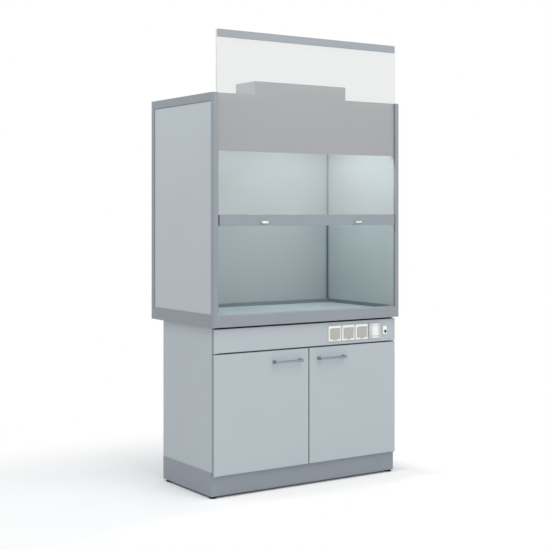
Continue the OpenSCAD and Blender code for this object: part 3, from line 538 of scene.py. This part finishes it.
# Soft lamps just under the pane carry the tubes' light to the worktop and the three walls.
pane_low, pane_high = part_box("lamp_pane")
pane_middle = (pane_low + pane_high) / 2
lamp_z = back_high.z - 0.022
down_x = 0.16
rear_y = pane_high.y - 0.02
rear_aim_z = lamp_z - 0.12
wall_lamp_x = 0.15
wall_x = 0.567
wall_aim_y = pane_low.y - 0.15
wall_aim_z = lamp_z - 0.8
soft_lamp("down lamp", place=(down_x, pane_middle.y, lamp_z), aim=(down_x, pane_middle.y, 0),
          size=0.3, depth=0.16, watts=0.5)
soft_lamp("rear lamp", place=(0, rear_y, lamp_z), aim=(0, back_low.y, rear_aim_z),
          size=0.9, depth=0.03, watts=2.2)
for side, watts in ((-1, 1.3), (1, 3.5)):
    soft_lamp("wall lamp", place=(side * wall_lamp_x, pane_middle.y, lamp_z),
              aim=(side * wall_x, wall_aim_y, wall_aim_z), size=0.1, depth=0.08, watts=watts)


# Lift
# Brackets and guides are bent from zinc-plated steel, and the weights are steel bars with a dull
# dark coat. The wheels are turned from white nylon. All of it runs between the outer panels and
# the chamber's walls. Black brushes in the posts' slots seal the glass; their black is partly
# painted shade in the slots.
dress(["pulley_brackets", "weight_guides"], zinc)
dress(["counterweight_left", "counterweight_right"],
      powder_coat("dark weight paint", "#6d7277", roughness=0.6), edge_mm=1.5)
dress(["pulley_left", "pulley_right"],
      plastic("white turned nylon", "#e2e2dc", roughness=0.4), edge_mm=0.4)
# The seals' near-black is partly painted shade for the shaded slots.
dress(["sash_seals"], plastic("black brush seal with painted shade", "#3a3e43", roughness=0.8))


# Cables
# Two cables of steel strands, 3 mm thick, each run from a sash shoe over a wheel to a weight.
# The twist of the strands shows as slanting ridges. A drop grows or shrinks as the sash moves.
material, tree, output, place = new_material("stranded steel cable")
strand_mm = 3.0
wave_scale = 2 * math.pi * 100 / strand_mm
strands = add_node(tree, "ShaderNodeTexWave",
                   {"Vector": place.outputs["Object"], "Scale": wave_scale},
                   wave_type="BANDS", bands_direction="DIAGONAL")
bump = add_node(tree, "ShaderNodeBump",
                {"Height": strands.outputs["Fac"], "Strength": 0.6, "Distance": 0.0004})
shader = add_node(tree, "ShaderNodeBsdfPrincipled",
                  {"Base Color": linear("#7d8288"), "Metallic": 1.0, "Roughness": 0.4,
                   "Normal": bump.outputs[0]})
tree.links.new(shader.outputs[0], output.inputs["Surface"])
dress(["cable_bends"], material)

# A drop has rings all along its length.
drop_rings = 32
cable_runs = [("cable_drops_front", "front", "sash", "sash"),
              ("cable_drops_rear", "rear", "weight_left", "weight_right")]
for node, row, held_left, held_right in cable_runs:
    low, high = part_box(node)
    radius = (high.y - low.y) / 2
    fall = high.z - low.z
    for x, side, held in ((low.x + radius, "left", held_left),
                          (high.x - radius, "right", held_right)):
        drop = bmesh.new()
        profile = [(radius * 1000, fall * 1000 * i / drop_rings) for i in range(drop_rings + 1)]
        turned(drop, [(0, 0)] + profile + [(0, fall * 1000)],
               (x, (low.y + high.y) / 2, low.z), (0, 0, 1), steps=12)
        cable = piece("cable_drop_" + row + "_" + side, drop, material, None)
        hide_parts(node)
        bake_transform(cable)


# Sash
# One pane of toughened glass between two extruded aluminium rails, powder coated. The lower rail's
# ends are painted near black in a thin band, as painted shade in the gaps at the posts. Moulded
# nylon blocks on its ends run inside the posts.
dress(["sash_glass"], glazing("veiled sash glass", "#ebecec", film=0.12), edge_mm=0.5)
# The last few millimetres at each end of the lower rail are painted near black, as painted shade.
end_shade_mm = 3.0
rail_end_shade = [("Object", "|X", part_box("sash_bottom_rail")[1].x - end_shade_mm / 1000, "#2b2e31")]
dress(["sash_bottom_rail"],
      powder_coat("rail powder coat with painted end shade", "#90969d", zones=rail_end_shade), edge_mm=0.6)
# The top rail's coat is tinted a touch lighter than the lower rail's, as painted light.
dress(["sash_top_rail"], powder_coat("top rail powder coat with painted light", "#959ba1"), edge_mm=0.6)
dress(["sash_shoes"], plastic("pale nylon block", "#d8d8d2", roughness=0.4), edge_mm=0.8)


# Pulls
# Two short bars of nickel-plated steel on stems, screwed to the lower rail. The plate is bright
# and nearly smooth, and mirrors the white room.
material, tree, output, place = new_material("nickel plate")
haze_mm = 4.0
haze = add_node(tree, "ShaderNodeTexNoise",
                {"Vector": place.outputs["Object"], "Scale": 1000 / haze_mm})
gloss = add_node(tree, "ShaderNodeMapRange",
                 {"Value": haze.outputs["Fac"], "To Min": 0.12, "To Max": 0.24})
shader = add_node(tree, "ShaderNodeBsdfPrincipled",
                  {"Base Color": linear("#fafafa"), "Metallic": 1.0,
                   "Roughness": gloss.outputs[0]})
tree.links.new(shader.outputs[0], output.inputs["Surface"])
dress(["sash_pulls"], material, edge_mm=1.2, steps=3)


# Cabinet
# Chipboard faced with pale satin melamine, pegged and glued. The board under the hood is coloured
# dark grey, as painted shade in the gap below the hood.
# It stands on a folded steel plinth with a darker coat, and on four feet of moulded black nylon.
# Steel brackets carry the doors' pins, and a catch holds each door shut.
dress(["cabinet_side_left", "cabinet_side_right", "cabinet_bottom", "cabinet_back",
       "cabinet_shelf"], plastic("pale melamine", "#b1b9bd"), edge_mm=0.5)
# The deck's dark grey is painted shade for the gap under the hood.
dress(["service_deck"], plastic("melamine darkened as painted shade", "#63696c"), edge_mm=0.5)
dress(["plinth"], powder_coat("plinth powder coat", "#8b9299"), edge_mm=0.8)
dress(["foot_front_left", "foot_front_right", "foot_rear_left", "foot_rear_right"],
      plastic("black moulded nylon", "#1c1d1f", roughness=0.5), edge_mm=0.8)
dress(["hinge_brackets"], zinc, edge_mm=0.3)


# Doors and control panel
# Boards faced with pale satin melamine, with a darker plastic band glued round their edges. What
# looks forwards or backwards is the face, and all else is the band.
board_faces = [("Normal", "|Y", 0.55, "#b0b8bd")]
dress(["door_left", "door_right", "control_panel"],
      plastic("banded melamine", "#859092", roughness=0.5, zones=board_faces), edge_mm=0.6)


# Door handles
# A drawn aluminium bar between two thicker turned posts, anodised in a satin blue grey. Fine
# lines from the drawing run along the bar, drawn coarser than they are so that they show.
material, tree, output, place = new_material("anodised aluminium")
line_mm = 1.1
line_length_mm = 50.0
stretch = add_node(tree, "ShaderNodeMapping",
                   {"Vector": place.outputs["Object"],
                    "Scale": (1000 / line_length_mm, 1000 / line_mm, 1000 / line_mm)})
lines = add_node(tree, "ShaderNodeTexNoise", {"Vector": stretch.outputs[0], "Scale": 1.0})
gloss = add_node(tree, "ShaderNodeMapRange",
                 {"Value": lines.outputs["Fac"], "To Min": 0.34, "To Max": 0.5})
shader = add_node(tree, "ShaderNodeBsdfPrincipled",
                  {"Base Color": linear("#9ea3ac"), "Metallic": 1.0,
                   "Roughness": gloss.outputs[0]})
tree.links.new(shader.outputs[0], output.inputs["Surface"])
dress(["door_handle_left", "door_handle_right"], material, edge_mm=0.4)


# Sockets
# Plates moulded in glossy white polycarbonate, snapped on round boxes behind the panel. Each has
# a grey lid on two pins. In its well are two brass contacts, a screw and two steel earth springs.
white_plastic = plastic("white polycarbonate", "#f5f4ef", roughness=0.3)
dress(["socket_frames"], white_plastic, edge_mm=0.8)
dress(["socket_lid_left", "socket_lid_middle", "socket_lid_right"],
      plastic("grey polycarbonate", "#afaeab", roughness=0.3), edge_mm=0.6)
frames_low, frames_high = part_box("socket_frames")
panel_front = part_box("control_panel")[0].y
plate_w = 0.080
plate_t = 0.008
well_d = 0.017
contact_x = 0.0095
spring_w = 0.005
spring_mm = 0.5
socket_count = 3
plate_step = (frames_high.x - frames_low.x - plate_w) / (socket_count - 1)
plate_z = (frames_low.z + frames_high.z) / 2
well_floor = panel_front - plate_t + well_d
# The profiles are (radius, height above the well's floor), and a spring's shape is (distance from
# the middle, depth behind the well's floor), all in millimetres.
sleeve = [(1.7, -7.5), (1.7, -1.0), (2.3, -0.6), (2.3, -7.5), (1.7, -7.5)]
flat_screw = [(0, 0.5), (2.6, 0.5), (3.0, 0.1), (3.0, -0.2), (0, -0.2)]
spring_shape = [(17.2, -0.5), (16.6, -6.0), (17.6, -10.0), (18.6, -13.5)]
contacts = bmesh.new()
springs = bmesh.new()
for i in range(socket_count):
    x = frames_low.x + plate_w / 2 + i * plate_step
    for aside in (-contact_x, contact_x):
        turned(contacts, sleeve, (x + aside, well_floor, plate_z), (0, -1, 0), steps=20)
    turned(springs, flat_screw, (x, well_floor, plate_z), (0, -1, 0), steps=20)
    for up in (-1, 1):
        sections = []
        for away, behind in spring_shape:
            sections.append([springs.verts.new(
                (x + edge * spring_w / 2, well_floor + behind / 1000,
                 plate_z + up * (away - skin) / 1000))
                for edge, skin in ((-1, 0), (1, 0), (1, spring_mm), (-1, spring_mm))])
        for near, far in zip(sections, sections[1:]):
            for j in range(4):
                springs.faces.new([near[j], near[(j + 1) % 4], far[(j + 1) % 4], far[j]])
        springs.faces.new(sections[0])
        springs.faces.new(sections[-1])
brass = bare_metal("brass", "#b08d4f", roughness=0.3)
spring_steel = bare_metal("spring steel", "#c2c5c8", roughness=0.25)
piece("socket_contacts", contacts, brass, "hood")
piece("earth_springs", springs, spring_steel, "hood")


# Light switch
# A plate with a wide rocker that bulges to the front, both moulded in plastic. Their colour is
# painted light and shade for the bulge: whitest along a highlight a little right of the middle,
# and greyer on the flanks.
rocker_low, rocker_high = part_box("light_switch_rocker")
# Where the switch's painted highlight lies, and how far its painted shade reaches.
highlight_shift = 0.004
highlight_half = 0.004
shade_reach = 0.042
plate_gap = 0.0025
highlight_x = (rocker_low.x + rocker_high.x) / 2 + highlight_shift
fan_plate_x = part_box("switch_frames")[0].x + plate_w + plate_gap


def painted_bulge_light(name, highlight_colour):
    """Polycarbonate with a painted highlight along a line and painted shade beside it. The fan's
    plate is plain.
    """
    material, tree, output, place = new_material(name)
    parts = add_node(tree, "ShaderNodeSeparateXYZ", {"Vector": place.outputs["Object"]})
    away = add_node(tree, "ShaderNodeMath", {0: parts.outputs["X"], 1: highlight_x},
                    operation="SUBTRACT")
    away = add_node(tree, "ShaderNodeMath", {0: away.outputs[0]}, operation="ABSOLUTE")
    side_shade = add_node(tree, "ShaderNodeMapRange",
                     {"Value": away.outputs[0], "From Min": highlight_half,
                      "From Max": shade_reach},
                     interpolation_type="SMOOTHSTEP")
    tint = add_node(tree, "ShaderNodeMix",
                    {0: side_shade.outputs[0], 6: linear(highlight_colour), 7: linear("#bdbdbe")},
                    data_type="RGBA")
    plain = add_node(tree, "ShaderNodeMath", {0: parts.outputs["X"], 1: fan_plate_x},
                     operation="GREATER_THAN")
    tint = add_node(tree, "ShaderNodeMix",
                    {0: plain.outputs[0], 6: tint.outputs[2], 7: linear("#fbfbf7")},
                    data_type="RGBA")
    haze_mm = 2.0
    haze = add_node(tree, "ShaderNodeTexNoise",
                    {"Vector": place.outputs["Object"], "Scale": 1000 / haze_mm})
    gloss = add_node(tree, "ShaderNodeMapRange",
                     {"Value": haze.outputs["Fac"], "To Min": 0.22, "To Max": 0.32})
    shader = add_node(tree, "ShaderNodeBsdfPrincipled",
                      {"Base Color": tint.outputs[2], "Roughness": gloss.outputs[0]})
    tree.links.new(shader.outputs[0], output.inputs["Surface"])
    return material


dress(["switch_frames"], painted_bulge_light("polycarbonate plate with painted light", "#e2e2e2"), edge_mm=0.6)
dress(["light_switch_rocker"], painted_bulge_light("polycarbonate rocker with painted light", "#ebebeb"), edge_mm=0.6)


# Fan switch
# A narrow white plate with a white rocker. Low on the rocker sits an oval lens, moulded in teal
# acrylic, domed and faceted inside so that it looks dark and deep.
dress(["fan_switch_button"], white_plastic, edge_mm=0.5)
material, tree, output, place = new_material("teal acrylic")
facet_mm = 1.1
facet_depth = 0.0003
facets = add_node(tree, "ShaderNodeTexVoronoi",
                  {"Vector": place.outputs["Object"], "Scale": 1000 / facet_mm})
bump = add_node(tree, "ShaderNodeBump",
                {"Height": facets.outputs["Distance"], "Strength": 0.15,
                 "Distance": facet_depth})
shader = add_node(tree, "ShaderNodeBsdfPrincipled",
                  {"Base Color": linear("#005c62"), "Roughness": 0.4, "Specular IOR Level": 0.1,
                   "Normal": bump.outputs[0]})
tree.links.new(shader.outputs[0], output.inputs["Surface"])
button_low, button_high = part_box("fan_switch_button")
lens_right = 0.0012
lens_ahead = 0.00698
lens_drop = 0.00674
lens_place = ((button_low.x + button_high.x) / 2 + lens_right, panel_front - lens_ahead,
              plate_z - lens_drop)
# The lens stands square on the rocker's lower half, which leans by 4 degrees.
lens_axis = (0, -0.9976, 0.0698)
lens_profile = [(0, 0.2), (8.0, 0.2), (8.0, 1.6), (7.7, 2.4), (6.7, 3.05), (4.3, 3.5), (2.1, 3.7),
                (0, 3.75)]
height_to_width = 1.16
lens = bmesh.new()
turned(lens, lens_profile, lens_place, lens_axis, steps=40, squeeze=height_to_width)
piece("fan_lens", lens, material, "fan_button")

bpy.context.view_layer.update()
low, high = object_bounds()
